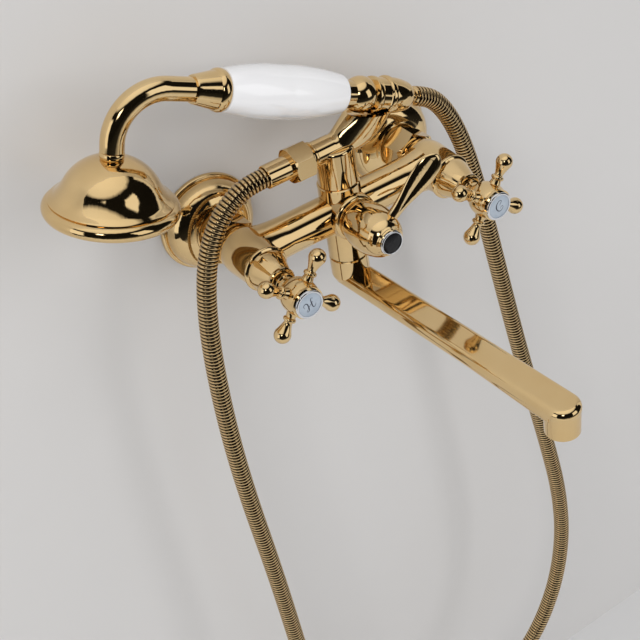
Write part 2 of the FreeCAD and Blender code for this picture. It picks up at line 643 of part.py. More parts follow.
def aerator(r, low, high, bore):
    shape = ring(r, bore, low, high)
    shape.translate(V(0, -SPOUT_REACH, 0))
    return shape


def aerator_sleeve():
    low = ARM_Z - ARM_T / 2 - OUTLET_DROP
    return place_spout(aerator(OUTLET_R - 1.8, low + 0.6, low + 9.0, OUTLET_R - 3.2))


def aerator_grid():
    low = ARM_Z - ARM_T / 2 - OUTLET_DROP
    plate = rod(OUTLET_R - 3.2, low + 1.6, low + 4.0)
    holes = []
    for count, at in ((1, 0.0), (6, 2.6), (12, 5.4)):
        for i in range(count):
            turn = 2 * math.pi * i / count
            holes.append(Part.makeCylinder(0.75, 4, V(at * math.cos(turn), at * math.sin(turn), low + 1)))
    plate = plate.cut(holes[0].multiFuse(holes[1:]))
    plate.translate(V(0, -SPOUT_REACH, 0))
    return place_spout(plate)


# ---------------------------------------------------------------- hand shower
def head_shell():
    lip, low, skin = HEAD_LIP_Z, HEAD_BOTTOM_Z, HEAD_SKIN
    seat_r = HEAD_LIP_R - 0.2
    dome, foot, shoulder = HEAD_DOME_R, HEAD_FLARE_R, lip + HEAD_SHOULDER
    middle, half_way = (dome + foot) / 2, lip + HEAD_SHOULDER / 2
    return on_head(lathe((5.0, 0), (7.0, 0), ((0.762 * dome, -6.5), (dome, shoulder)),
                         ((middle - 0.3, half_way + 0.6), (foot, lip + 1.7)), (HEAD_LIP_R - 0.8, lip + 0.9),
                         (HEAD_LIP_R, lip), (HEAD_LIP_R - 0.9, lip - 0.9),
                         ((HEAD_BAND_R, lip - 4.2), (HEAD_BAND_R - 1.2, low + 0.6)),
                         (HEAD_BAND_R - 2.2, low), (seat_r, low), (seat_r, low + 3.0),
                         (seat_r - skin, low + 3.0), (seat_r - skin, lip - 1.2),
                         (foot - 0.8 * skin, lip + 0.4),
                         ((middle - 0.3 - 0.75 * skin, half_way + 0.6 - 0.65 * skin),
                          (dome - 0.85 * skin, shoulder - 0.5 * skin)),
                         ((0.72 * dome, -8.0), (7.0, -skin)), (5.0, -skin)))


def spray_plate():
    low, r = HEAD_BOTTOM_Z, HEAD_LIP_R - 0.3
    shape = lathe((0, low + 0.6), (r - 6, low + 0.6), (r - 4.6, low - 0.6), (r - 2.4, low - 0.9),
                  (r - 0.6, low - 0.2), (r, low + 0.6), (r, low + 2.9), (r - 6, low + 2.9),
                  (0, low + 2.6))
    jets = []
    for count, at in ((6, 6.5), (12, 13.0), (18, 19.5), (24, 26.0)):
        for i in range(count):
            turn = 2 * math.pi * i / count
            jets.append(Part.makeCylinder(0.7, 6, V(at * math.cos(turn), at * math.sin(turn), low - 2)))
    return on_head(shape.cut(Part.makeCompound(jets)))


def neck_collar():
    """Ball nut that holds the head on the gooseneck."""
    return on_head(lathe((GOOSE_R - GOOSE_WALL, 0), (6.6, 0), ((7.6, 2.0), (7.2, 4.4)), (6.4, 5.0),
                         (GOOSE_R - GOOSE_WALL, 5.0)))


def bend_end():
    """Where the gooseneck's arc ends, and the way it points there."""
    turn = math.radians(90 + HEAD_LEAN)
    r = GOOSE_BEND_R
    point = V(GOOSE_BEND_AT - r * math.sin(turn), 0, -r + r * math.cos(turn))
    return point, V(-math.cos(turn), 0, -math.sin(turn))


def neck_point():
    point, way = bend_end()
    return point + way * GOOSE_DROP


def on_head(shape):
    """Move a shape from the head's frame to its place on the gooseneck."""
    shape = shape.copy()
    shape.rotate(V(0, 0, 0), V(0, 1, 0), -HEAD_LEAN)
    shape.translate(neck_point())
    return on_handset(shape)


def gooseneck():
    r = GOOSE_BEND_R
    half = math.radians(90 + HEAD_LEAN) / 2
    bend, way = bend_end()
    last = neck_point() - way * 5.0
    start = V(GRIP_START - 4.0, 0, 0)
    begin = V(GOOSE_BEND_AT, 0, 0)
    middle = V(GOOSE_BEND_AT - r * math.sin(half), 0, -r + r * math.cos(half))
    path = Part.Wire([Part.makeLine(start, begin), Part.Arc(begin, middle, bend).toShape(),
                      Part.makeLine(bend, last)])
    skins = []
    for radius in (GOOSE_R, GOOSE_R - GOOSE_WALL):
        circle = Part.Wire([Part.makeCircle(radius, start, V(1, 0, 0))])
        skins.append(path.makePipeShell([circle], True, False))
    return on_handset(skins[0].cut(skins[1]))


def front_ferrule():
    back = GRIP_START
    front = back - FRONT_FERRULE_L
    shape = lathe((GOOSE_R, front), (8.5, front), (8.9, front + 0.8), (11.9, back - 6.6), (12.3, back - 6.2),
                  ((GRIP_R_FRONT, back - 3.2), (12.6, back - 0.5)), (12.2, back), (CORE_R, back),
                  (CORE_R, back - 4.0), (GOOSE_R, back - 4.0))
    return on_handset(along_x(shape))


def porcelain_grip():
    a, b = GRIP_START, GRIP_END
    peak = a + 42.0
    shape = lathe((CORE_R, a), (GRIP_R_FRONT - 0.8, a), (GRIP_R_FRONT, a + 0.8),
                  ((16.4, a + 21.0), (GRIP_R_MID, peak)), ((15.9, peak + 24), (GRIP_R_REAR, b - 0.8)),
                  (GRIP_R_REAR - 0.8, b), (CORE_R, b))
    return on_handset(along_x(shape))


def grip_core():
    return on_handset(along_x(ring(CORE_R, CORE_R - 1.5, GRIP_START - 3.9, GRIP_END + 12)))


def rear_ball():
    b, c, r, ring_r = GRIP_END, BALL_AT, BALL_R, REAR_RING_R
    neck, lip = 8.8, 9.3
    start, end = c - math.sqrt(r ** 2 - neck ** 2), c + math.sqrt(r ** 2 - lip ** 2)
    shape = lathe((CORE_R, b), (10.6, b), (10.6, b + 1.4), (neck, b + 3.0), (neck, start), ((r, c), (lip, end)),
                  (ring_r - 1.0, end + 0.6), (ring_r - 0.7, end + 1.2), (ring_r - 0.7, BALL_SEAT - 0.8),
                  (ring_r - 1.2, BALL_SEAT), (CORE_R, BALL_SEAT))
    return on_handset(along_x(shape))


def rear_connector():
    r, end, seat, ring_r = CONNECTOR_R, CONNECTOR_END, BALL_SEAT, REAR_RING_R
    shape = lathe((5.0, seat), (r - 0.4, seat), (r, seat + 0.6), (r, seat + 6.4), (ring_r - 0.4, seat + 7.0),
                  (ring_r, seat + 7.8), (ring_r, seat + 9.6), (ring_r - 0.6, seat + 10.4), (8.4, seat + 10.4),
                  (8.4, end), (5.0, end))
    return on_handset(along_x(shape))


def handset_nut():
    r, end = CONNECTOR_R, CONNECTOR_END
    shape = lathe((8.4, BALL_SEAT + 10.8), (r - 0.4, BALL_SEAT + 10.8), (r, BALL_SEAT + 11.4),
                  ((r - 0.2, end - 3.0), (r - 1.4, end + 2.0)),
                  ((8.6, end + 6.2), (6.9, end + 8.2)), (5.4, end + 8.2), (5.4, end + 3.0), (8.4, end + 3.0))
    return on_handset(along_x(shape))


def handset_washer():
    return on_handset(along_x(ring(8.2, 4.6, CONNECTOR_END, CONNECTOR_END + HANDSET_WASHER_T)))


def handset_ferrule():
    start, end = CONNECTOR_END + HANDSET_WASHER_T, HOSE_SEAT
    shape = lathe((3.4, start), (5.3, start), (5.3, end - 2.6), (6.4, end - 1.8), (6.4, end), (3.4, end))
    return on_handset(along_x(shape))


# ---------------------------------------------------------------- shower hose
def hose_start():
    x = PIPE_END_X - CLEAR - HOSE_NUT_L - FERRULE_L
    return V(x, HOSE_ROUTE_Y, OUTLET_Z)


def hose_end():
    point = Part.Vertex(HOSE_SEAT, 0, 0)
    return on_handset(point).Point


ROUTE = [(-64.0, -55.0, 48.5), (-76.4, -55.0, 44.5), (-88.5, -55.0, 35.7), (-98.3, -55.0, 22.0),
         (-105.8, -55.0, 3.4), (-111.4, -55.4, -21.8), (-115.4, -56.0, -55.4), (-117.6, -57.2, -101.0),
         (-117.8, -59.0, -152.0), (-115.6, -61.0, -205.0), (-111.8, -63.2, -260.0),
         (-109.0, -66.0, -316.0), (-107.0, -69.0, -373.0), (-103.6, -71.0, -430.0),
         (-93.0, -73.0, -486.0), (-69.0, -75.0, -538.0), (-26.0, -76.5, -573.0),
         (30.0, -78.0, -588.0), (85.0, -79.0, -577.0), (128.0, -80.0, -540.0),
         (154.0, -80.0, -489.0), (166.0, -79.0, -431.0), (166.0, -76.0, -372.0),
         (158.0, -72.0, -314.0), (148.4, -68.0, -257.0), (139.2, -64.0, -201.0),
         (131.4, -60.0, -147.0), (123.9, -57.5, -97.0), (117.2, -56.0, -54.0), (111.0, -55.2, -23.0),
         (105.7, -55.0, -1.0), (99.7, -55.0, 17.4), (93.1, -55.0, 32.5), (85.7, -55.0, 44.4),
         (77.1, -55.0, 52.77)]


def hose_centreline():
    """Straight runs joined by tangent arcs, as large as the runs allow."""
    points = [hose_start()] + [V(*p) for p in ROUTE] + [hose_end()]
    edges, here, radii = [], points[0], []
    for before, corner, after in zip(points, points[1:], points[2:]):
        back, ahead = before - corner, after - corner
        shorter = min(back.Length, ahead.Length)
        back.normalize()
        ahead.normalize()
        half_turn = (math.pi - back.getAngle(ahead)) / 2
        setback = 0.45 * shorter
        radii.append(setback / math.tan(half_turn))
        enter, leave = corner + back * setback, corner + ahead * setback
        inward = back + ahead
        inward.normalize()
        to_centre = math.hypot(radii[-1], setback)
        middle = corner + inward * (to_centre - radii[-1])
        edges.append(Part.LineSegment(here, enter).toShape())
        edges.append(Part.Arc(enter, middle, leave).toShape())
        here = leave
    edges.append(Part.LineSegment(here, points[-1]).toShape())
    print("hose radii", [round(r) for r in radii])
    return Part.Wire(edges)


def hose_tube():
    path = hose_centreline()
    first = path.Edges[0]
    circle = Part.Wire([Part.makeCircle(HOSE_R, first.Vertexes[0].Point, first.tangentAt(first.FirstParameter))])
    tube = path.makePipeShell([circle], True, False)
    print("hose length", round(path.Length, 1), "volume ratio",
          round(tube.Volume / (math.pi * HOSE_R ** 2 * path.Length), 5))
    return tube


HOSE_SPLIT_X = 8.0          # the lowest bend is cut here: one half hangs from each end


def hose_legs():
    tube = hose_tube()
    size = 1000.0
    left = Part.makeBox(size, size, 2 * size, V(HOSE_SPLIT_X - size, -size + 200, -size - 300))
    return tube.common(left), tube.cut(left)


# ---------------------------------------------------------------- all pieces
def build():
    half = INLET_SPACING / 2
    add("body_casting", body_casting())
    for side, x, turn in (("left", -half, LEFT_TURN), ("right", half, RIGHT_TURN)):
        fixed, moving = disc_levels()
        add(side + "_wall_union", outward(wall_union(), x))
        add(side + "_rosette", outward(rosette(), x))
        add(side + "_union_nut", outward(union_nut(), x))
        add(side + "_cartridge_housing", outward(cartridge_housing(), x))
        add(side + "_fixed_disc", outward(ported_disc(fixed, 1), x))
        add(side + "_moving_disc", outward(ported_disc(moving, -1), x))
        add(side + "_spindle", outward(spindle(), x))
        add(side + "_bonnet", outward(bonnet(), x))
        for name, shape in (("cross_handle", cross_handle(turn)), ("handle_screw", handle_screw()),
                            ("index_ring", index_ring(INDEX_RING_R, INDEX_R, HUB_FACE, INDEX_RING_T)),
                            ("index_button", index_button(INDEX_R, HUB_FACE, INDEX_RING_T, 0.5))):
            add(side + "_" + name, upward(shape, x))
    add("inlet_washers", Part.makeCompound([outward(inlet_washer(), s * half) for s in (-1, 1)]))
    add("seat_seals", Part.makeCompound([outward(seat_seal(), s * half) for s in (-1, 1)]))

    add("diverter_housing", diverter_housing())
    add("diverter_spindle", diverter_spindle())
    add("diverter_knob", diverter_knob())
    add("diverter_lever", diverter_lever())
    add("diverter_index_ring", index_ring(DIVERTER_INDEX_RING_R, DIVERTER_INDEX_R, KNOB_FACE - 0.2, 1.6))
    add("diverter_index", index_button(DIVERTER_INDEX_R, KNOB_FACE - 0.2, 1.6, 0.5))

    add("tower_collar", tower_collar())
    add("tower_washer", tower_washer())
    add("cradle_column", cradle_column())
    add("outlet_hose_nut", hose_nut())
    add("outlet_ferrule", outlet_ferrule())
    add("outlet_washer", outlet_washer())

    add("spout_arm", spout_arm())
    add("spout_orings", spout_orings())
    add("aerator_sleeve", aerator_sleeve())
    add("aerator_grid", aerator_grid())

    add("head_shell", head_shell())
    add("spray_plate", spray_plate())
    add("neck_collar", neck_collar())
    add("gooseneck", gooseneck())
    add("front_ferrule", front_ferrule())
    add("porcelain_grip", porcelain_grip())
    add("grip_core", grip_core())
    add("rear_ball", rear_ball())
    add("rear_connector", rear_connector())
    add("handset_nut", handset_nut())
    add("handset_washer", handset_washer())
    add("handset_ferrule", handset_ferrule())

    outlet_leg, handset_leg = hose_legs()
    add("hose_outlet_leg", outlet_leg)
    add("hose_handset_leg", handset_leg)


build()
os.makedirs("parts", exist_ok=True)
for node, shape in PARTS.items():
    if not shape.isValid():
        print("not valid:", node)
    shape.exportStep("parts/" + node + ".step")
print(len(PARTS), "nodes")
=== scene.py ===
import bpy, bmesh, json, math
from mathutils import Matrix, Vector


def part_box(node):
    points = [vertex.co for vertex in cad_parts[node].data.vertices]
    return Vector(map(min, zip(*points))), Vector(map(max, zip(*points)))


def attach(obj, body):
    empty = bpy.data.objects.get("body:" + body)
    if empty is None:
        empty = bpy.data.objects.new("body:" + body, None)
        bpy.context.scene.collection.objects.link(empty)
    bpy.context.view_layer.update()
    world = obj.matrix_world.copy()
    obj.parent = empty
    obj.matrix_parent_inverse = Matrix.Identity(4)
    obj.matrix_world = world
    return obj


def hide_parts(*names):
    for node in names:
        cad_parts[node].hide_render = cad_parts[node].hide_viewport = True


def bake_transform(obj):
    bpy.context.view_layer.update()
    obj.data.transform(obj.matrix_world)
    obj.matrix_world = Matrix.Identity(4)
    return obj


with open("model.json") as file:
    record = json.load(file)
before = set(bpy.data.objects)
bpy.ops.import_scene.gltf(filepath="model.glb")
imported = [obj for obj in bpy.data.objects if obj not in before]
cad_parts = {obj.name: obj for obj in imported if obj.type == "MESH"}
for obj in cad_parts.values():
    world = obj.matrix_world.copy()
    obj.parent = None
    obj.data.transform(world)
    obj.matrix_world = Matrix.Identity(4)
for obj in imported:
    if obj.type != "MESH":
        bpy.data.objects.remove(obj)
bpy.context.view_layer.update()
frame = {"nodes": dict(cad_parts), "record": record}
NODES = frame["nodes"]
MM = 0.001

# ------------------------------------------------------------------ sizes, metres and degrees
HALF_SPACING = 0.075
INDEX_R, INDEX_CROWN = 0.0083, 0.0006
HANDSET_AT = Vector((0.0285, -0.055, 0.0744))
HANDSET_PITCH = math.radians(24.0)
HOSE_R = 0.0067
HOSE_PITCH = 0.0027

# ------------------------------------------------------------------ camera
def place_camera():
    focal, turn, dip, roll = 1296.202, 0.489978, 0.663198, -0.167189
    shift = (49.1494, 46.9633, 827.8842)
    ahead = Vector((math.sin(turn) * math.cos(dip), math.cos(turn) * math.cos(dip), -math.sin(dip)))
    right = Vector((math.cos(turn), -math.sin(turn), 0))
    up = right.cross(ahead)
    right, up = (math.cos(roll) * right + math.sin(roll) * up,
                 math.cos(roll) * up - math.sin(roll) * right)
    at = (-(shift[0] * right + shift[1] * up + shift[2] * ahead) + Vector((0, -117, 0))) * MM
    lens = bpy.data.cameras.new("camera")
    lens.sensor_width, lens.lens = 36, focal / 640 * 36
    lens.clip_start, lens.clip_end = 0.01, 50
    holder = bpy.data.objects.new("camera", lens)
    bpy.context.scene.collection.objects.link(holder)
    holder.matrix_world = Matrix(((right.x, up.x, -ahead.x, at.x), (right.y, up.y, -ahead.y, at.y),
                                  (right.z, up.z, -ahead.z, at.z), (0, 0, 0, 1)))
    bpy.context.scene.camera = holder
    return at, ahead, right, up


CAMERA_AT, AHEAD, RIGHT, UP = place_camera()

# ------------------------------------------------------------------ node helpers
class Finish:
    """A material with its Principled shader and short ways to add nodes."""
    def __init__(self, name, colour, metallic=0.0, roughness=0.3, **sockets):
        self.material = bpy.data.materials.new(name)
        self.material.use_nodes = True
        self.tree = self.material.node_tree
        self.shader = self.tree.nodes["Principled BSDF"]
        self.set("Base Color", (*colour, 1))
        self.set("Metallic", metallic)
        self.set("Roughness", roughness)
        for key, value in sockets.items():
            self.set(key.replace("_", " "), value)

    def set(self, socket, value):
        self.shader.inputs[socket].default_value = value

    def node(self, kind, **inputs):
        made = self.tree.nodes.new(kind)
        for key, value in inputs.items():
            if key in made.inputs.keys():
                made.inputs[key].default_value = value
            else:
                setattr(made, key, value)
        return made

    def join(self, out, into):
        self.tree.links.new(out, into)

    def place(self):
        return self.node("ShaderNodeTexCoord").outputs["Object"]

    def noise(self, scale, detail=3.0, stretch=None):
        made = self.node("ShaderNodeTexNoise", Scale=scale, Detail=detail)
        if stretch:
            mapping = self.node("ShaderNodeMapping")
            mapping.inputs["Scale"].default_value = stretch
            self.join(self.place(), mapping.inputs["Vector"])
            self.join(mapping.outputs["Vector"], made.inputs["Vector"])
        else:
            self.join(self.place(), made.inputs["Vector"])
        return made.outputs["Fac"]

    def ramp(self, source, *stops):
        made = self.node("ShaderNodeValToRGB")
        ramp = made.color_ramp
        for i, (at, colour) in enumerate(stops):
            stop = ramp.elements[i] if i < len(ramp.elements) else ramp.elements.new(at)
            stop.position, stop.color = at, (*colour, 1) if len(colour) == 3 else colour
        self.join(source, made.inputs["Fac"])
        return made.outputs["Color"]

    def span(self, source, low, high, into):
        made = self.node("ShaderNodeMapRange")
        made.inputs["To Min"].default_value = low
        made.inputs["To Max"].default_value = high
        self.join(source, made.inputs["Value"])
        self.join(made.outputs["Result"], self.shader.inputs[into])

    def bump(self, source, strength, distance):
        made = self.node("ShaderNodeBump", Strength=strength, Distance=distance)
        self.join(source, made.inputs["Height"])
        self.join(made.outputs["Normal"], self.shader.inputs["Normal"])


def polished(name, colour, deep, rough):
    """Plated metal: faint clouding of its colour, water marks in its gloss and a slight orange peel."""
    f = Finish(name, colour, 1.0, rough)
    cloud = f.noise(18.0, 4.0)
    f.join(f.ramp(cloud, (0.3, deep), (0.62, colour)), f.shader.inputs["Base Color"])
    f.span(f.noise(70.0, 5.0), rough * 0.5, rough * 1.7, "Roughness")
    f.bump(f.noise(55.0, 2.0), 0.05, 0.0004)
    return f.material


def ribbed_metal():
    """Plated hose metal: its gold on the crown of each rib, with painted shade taking it to near black down in the
    seam.
    """
    f = Finish("gold_hose_metal", (0.66, 0.49, 0.27), 1.0, 0.14)
    groove_shade_mask = f.node("ShaderNodeAttribute", attribute_name="crown").outputs["Fac"]
    # Painted shade: near-black colour in the groove between ribs, rising to the plain gold on the crown.
    painted_groove_shade = f.ramp(groove_shade_mask, (0.0, (0.012, 0.007, 0.004)), (0.70, (0.05, 0.032, 0.016)), (0.90, (0.74, 0.53, 0.27)))
    f.join(painted_groove_shade, f.shader.inputs["Base Color"])
    f.span(f.noise(90.0, 4.0), 0.10, 0.24, "Roughness")
    return f.material


def make_finishes():
    made = {}
    made["gold_plate"] = polished("polished_gold", (0.84, 0.62, 0.325), (0.78, 0.55, 0.265), 0.05)
    made["gold_hose"] = ribbed_metal()
    made["chrome_trim"] = polished("chrome_trim", (0.82, 0.83, 0.85), (0.76, 0.77, 0.80), 0.06)
    made["bare_brass"] = polished("machined_brass", (0.62, 0.45, 0.22), (0.52, 0.36, 0.17), 0.28)
    made["screw_steel"] = polished("screw_steel", (0.55, 0.56, 0.58), (0.48, 0.49, 0.51), 0.3)

    white = Finish("grip_porcelain", (0.86, 0.86, 0.875), 0.0, 0.08, Coat_Weight=0.6, Coat_Roughness=0.03)
    white.join(white.ramp(white.noise(9.0, 3.0), (0.3, (0.83, 0.83, 0.85)), (0.7, (0.89, 0.89, 0.895))),
               white.shader.inputs["Base Color"])
    white.span(white.noise(40.0, 3.0), 0.05, 0.12, "Roughness")
    white.bump(white.noise(22.0, 2.0), 0.04, 0.0005)
    made["white_porcelain"] = white.material

    blue = Finish("index_porcelain", (0.36, 0.42, 0.50), 0.0, 0.12, Coat_Weight=0.5, Coat_Roughness=0.05)
    blue.join(blue.ramp(blue.noise(120.0, 3.0), (0.3, (0.33, 0.39, 0.47)), (0.7, (0.42, 0.48, 0.55))),
              blue.shader.inputs["Base Color"])
    blue.span(blue.noise(200.0, 3.0), 0.08, 0.2, "Roughness")
    made["index_porcelain"] = blue.material

    ink = Finish("letter_ink", (0.035, 0.04, 0.06), 0.0, 0.3)
    ink.span(ink.noise(300.0, 3.0), 0.22, 0.4, "Roughness")
    made["letter_ink"] = ink.material

    black = Finish("black_enamel", (0.006, 0.006, 0.007), 0.0, 0.12, Specular_IOR_Level=0.3)
    black.span(black.noise(120.0, 4.0), 0.05, 0.16, "Roughness")
    made["black_index"] = black.material

    rubber = Finish("seal_rubber", (0.03, 0.03, 0.03), 0.0, 0.7)
    rubber.bump(rubber.noise(400.0, 3.0), 0.2, 0.0002)
    made["seal_rubber"] = rubber.material

    disc = Finish("lapped_ceramic", (0.8, 0.79, 0.76), 0.0, 0.25)
    disc.span(disc.noise(150.0, 3.0), 0.18, 0.32, "Roughness")
    made["valve_ceramic"] = disc.material

    grid = Finish("aerator_plastic", (0.72, 0.72, 0.71), 0.0, 0.35)
    grid.bump(grid.noise(260.0, 3.0), 0.1, 0.0002)
    made["white_plastic"] = grid.material

    nozzle = Finish("spray_face", (0.40, 0.40, 0.41), 1.0, 0.28)
    nozzle.span(nozzle.noise(160.0, 3.0), 0.2, 0.36, "Roughness")
    made["spray_face"] = nozzle.material
    return made


FINISH = make_finishes()
SLOT_OF = {row["node"]: row["material_slot"] for row in frame["record"]["subparts"]}


# ------------------------------------------------------------------ pieces kept from the CAD model
def soften(piece, split):
    """Round shading on a tessellated piece, with its real edges kept sharp."""
    mesh = piece.data
    if "custom_normal" in mesh.attributes:
        mesh.attributes.remove(mesh.attributes["custom_normal"])
    mesh.polygons.foreach_set("use_smooth", [True] * len(mesh.polygons))
    weld = piece.modifiers.new("weld", "WELD")
    weld.merge_threshold = 2e-6
    edges = piece.modifiers.new("edges", "EDGE_SPLIT")
    edges.split_angle = math.radians(split)
    even = piece.modifiers.new("even", "WEIGHTED_NORMAL")
    even.keep_sharp = True
    even.weight = 50


def dress(name, finish=None, split=32):
    piece = NODES[name]
    piece.data.materials.clear()
    piece.data.materials.append(FINISH[finish or SLOT_OF[name]])
    soften(piece, split)


# ------------------------------------------------------------------ mesh helpers
def new_piece(name, mesh, finish, body, *stands_for, slot=None):
    piece = bpy.data.objects.new(name, mesh)
    bpy.context.scene.collection.objects.link(piece)
    mesh.materials.clear()
    mesh.materials.append(FINISH[finish])
    if body:
        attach(piece, body)
    if stands_for:
        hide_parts(*stands_for)
    return piece


def evaluated(piece, name):
    graph = bpy.context.evaluated_depsgraph_get()
    mesh = bpy.data.meshes.new_from_object(piece.evaluated_get(graph))
    mesh.name = name
    return mesh


# ------------------------------------------------------------------ shower hose
# The corners of the hose's route, from the shower outlet down and back up to the hand shower.
HOSE_ROUTE = [(-64.0, -55.0, 48.5), (-76.4, -55.0, 44.5), (-88.5, -55.0, 35.7), (-98.3, -55.0, 22.0),
              (-105.8, -55.0, 3.4), (-111.4, -55.4, -21.8), (-115.4, -56.0, -55.4), (-117.6, -57.2, -101.0),
              (-117.8, -59.0, -152.0), (-115.6, -61.0, -205.0), (-111.8, -63.2, -260.0),
              (-109.0, -66.0, -316.0), (-107.0, -69.0, -373.0), (-103.6, -71.0, -430.0),
              (-93.0, -73.0, -486.0), (-69.0, -75.0, -538.0), (-26.0, -76.5, -573.0),
              (30.0, -78.0, -588.0), (85.0, -79.0, -577.0), (128.0, -80.0, -540.0),
              (154.0, -80.0, -489.0), (166.0, -79.0, -431.0), (166.0, -76.0, -372.0),
              (158.0, -72.0, -314.0), (148.4, -68.0, -257.0), (139.2, -64.0, -201.0),
              (131.4, -60.0, -147.0), (123.9, -57.5, -97.0), (117.2, -56.0, -54.0), (111.0, -55.2, -23.0),
              (105.7, -55.0, -1.0), (99.7, -55.0, 17.4), (93.1, -55.0, 32.5), (85.7, -55.0, 44.4),
              (77.1, -55.0, 52.77)]
HOSE_FROM = (-52.8, -55.0, 48.5)
HOSE_TO = (28.5 + 42.2 * math.cos(HANDSET_PITCH), -55.0, 74.4 - 42.2 * math.sin(HANDSET_PITCH))


def hose_line():
    """The centreline: a smooth spline through the route's runs, read back as points."""
    curve = bpy.data.curves.new("hose_route", "CURVE")
    curve.dimensions = "3D"
    spline = curve.splines.new("NURBS")
    points = [HOSE_FROM] + HOSE_ROUTE + [HOSE_TO]
    spline.points.add(len(points) - 1)
    for place, p in zip(spline.points, points):
        place.co = (*(c * MM for c in p), 1)
    spline.order_u = 3
    spline.use_endpoint_u = True
    spline.resolution_u = 12
    holder = bpy.data.objects.new("hose_route", curve)
    bpy.context.scene.collection.objects.link(holder)
    mesh = evaluated(holder, "hose_route_line")
    line = [v.co.copy() for v in mesh.vertices]
    bpy.data.objects.remove(holder)
    bpy.data.meshes.remove(mesh)
    return line


def hose_tree():
    """Winds the hose: rounded ribs at an even pitch along a line, with a groove between them."""
    tree = bpy.data.node_groups.new("ribbed_hose", "GeometryNodeTree")
    face = tree.interface
    face.new_socket("Geometry", in_out="INPUT", socket_type="NodeSocketGeometry")
    for name, value in (("Pitch", HOSE_PITCH), ("Radius", HOSE_R), ("Groove", 0.0011)):
        face.new_socket(name, in_out="INPUT", socket_type="NodeSocketFloat").default_value = value
    face.new_socket("Sides", in_out="INPUT", socket_type="NodeSocketInt").default_value = 26
    face.new_socket("Finish", in_out="INPUT", socket_type="NodeSocketMaterial")
    face.new_socket("Geometry", in_out="OUTPUT", socket_type="NodeSocketGeometry")
    make, join = tree.nodes.new, tree.links.new
    came, went = make("NodeGroupInput"), make("NodeGroupOutput")

    def maths(kind, a, b=None):
        n = make("ShaderNodeMath")
        n.operation = kind
        for i, v in enumerate((a, b)):
            if v is None:
                continue
            if isinstance(v, (int, float)):
                n.inputs[i].default_value = v
            else:
                join(v, n.inputs[i])
        return n.outputs[0]

    to_curve = make("GeometryNodeMeshToCurve")
    join(came.outputs["Geometry"], to_curve.inputs["Mesh"])
    resample = make("GeometryNodeResampleCurve")
    resample.mode = "LENGTH"
    join(to_curve.outputs["Curve"], resample.inputs["Curve"])
    join(maths("DIVIDE", came.outputs["Pitch"], 6.0), resample.inputs["Length"])
    index = make("GeometryNodeInputIndex").outputs[0]
    phase = maths("MULTIPLY", maths("MODULO", index, 6.0), math.pi / 6.0)
    rib = maths("POWER", maths("SINE", phase), 0.4)
    radius = maths("SUBTRACT", came.outputs["Radius"],
                   maths("MULTIPLY", came.outputs["Groove"], maths("SUBTRACT", 1.0, rib)))
    # The rib height is kept as the crown attribute; the hose finish uses it as the mask for painted shade in the
    # groove.
    keep = make("GeometryNodeStoreNamedAttribute")
    keep.data_type, keep.domain = "FLOAT", "POINT"
    keep.inputs["Name"].default_value = "crown"
    join(resample.outputs["Curve"], keep.inputs["Geometry"])
    join(rib, keep.inputs["Value"])
    circle = make("GeometryNodeCurvePrimitiveCircle")
    circle.inputs["Radius"].default_value = 1.0
    join(came.outputs["Sides"], circle.inputs["Resolution"])
    sweep = make("GeometryNodeCurveToMesh")
    join(keep.outputs["Geometry"], sweep.inputs["Curve"])
    join(circle.outputs["Curve"], sweep.inputs["Profile Curve"])
    join(radius, sweep.inputs["Scale"])
    sweep.inputs["Fill Caps"].default_value = True
    smooth = make("GeometryNodeSetShadeSmooth")
    join(sweep.outputs["Mesh"], smooth.inputs["Geometry"])
    real = make("GeometryNodeRealizeInstances")
    join(smooth.outputs["Geometry"], real.inputs["Geometry"])
    coat = make("GeometryNodeSetMaterial")
    join(real.outputs["Geometry"], coat.inputs["Geometry"])
    join(came.outputs["Finish"], coat.inputs["Material"])
    join(coat.outputs["Geometry"], went.inputs["Geometry"])
    return tree


def set_input(modifier, name, value):
    for item in modifier.node_group.interface.items_tree:
        if item.item_type == "SOCKET" and item.in_out == "INPUT" and item.name == name:
            modifier[item.identifier] = value


def grown(name, mesh, tree, **inputs):
    """Runs a tree on a mesh and returns the result as a plain mesh."""
    holder = bpy.data.objects.new(name + "_seed", mesh)
    bpy.context.scene.collection.objects.link(holder)
    modifier = holder.modifiers.new(name, "NODES")
    modifier.node_group = tree
    for key, value in inputs.items():
        set_input(modifier, key, value)
    made = evaluated(holder, name)
    bpy.data.objects.remove(holder)
    return made


def build_hose():
    line = hose_line()
    seed = bpy.data.meshes.new("hose_seed")
    seed.from_pydata(line, [(i, i + 1) for i in range(len(line) - 1)], [])
    mesh = grown("shower_hose", seed, hose_tree(), Finish=FINISH["gold_hose"])
    hose = bpy.data.objects.new("shower_hose", mesh)
    bpy.context.scene.collection.objects.link(hose)
    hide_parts("hose_outlet_leg", "hose_handset_leg")
    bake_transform(hose)
    length = sum((b - a).length for a, b in zip(line, line[1:]))
    print("hose length", length)


# ------------------------------------------------------------------ turned pieces
def arc(start, through, end, steps=24):
    """Points on the arc through three (radius, place) points."""
    (ax, ay), (bx, by), (cx, cy) = start, through, end
    d = 2 * (ax * (by - cy) + bx * (cy - ay) + cx * (ay - by))
    ux = ((ax ** 2 + ay ** 2) * (by - cy) + (bx ** 2 + by ** 2) * (cy - ay) + (cx ** 2 + cy ** 2) * (ay - by)) / d
    uy = ((ax ** 2 + ay ** 2) * (cx - bx) + (bx ** 2 + by ** 2) * (ax - cx) + (cx ** 2 + cy ** 2) * (bx - ax)) / d
    r = math.hypot(ax - ux, ay - uy)
    a0, a1, a2 = (math.atan2(y - uy, x - ux) for x, y in (start, through, end))
    turn = (a2 - a0) % (2 * math.pi)
    if (a1 - a0) % (2 * math.pi) > turn:
        turn -= 2 * math.pi
    return [(ux + r * math.cos(a0 + turn * i / steps), uy + r * math.sin(a0 + turn * i / steps)) for i in range(steps + 1)]


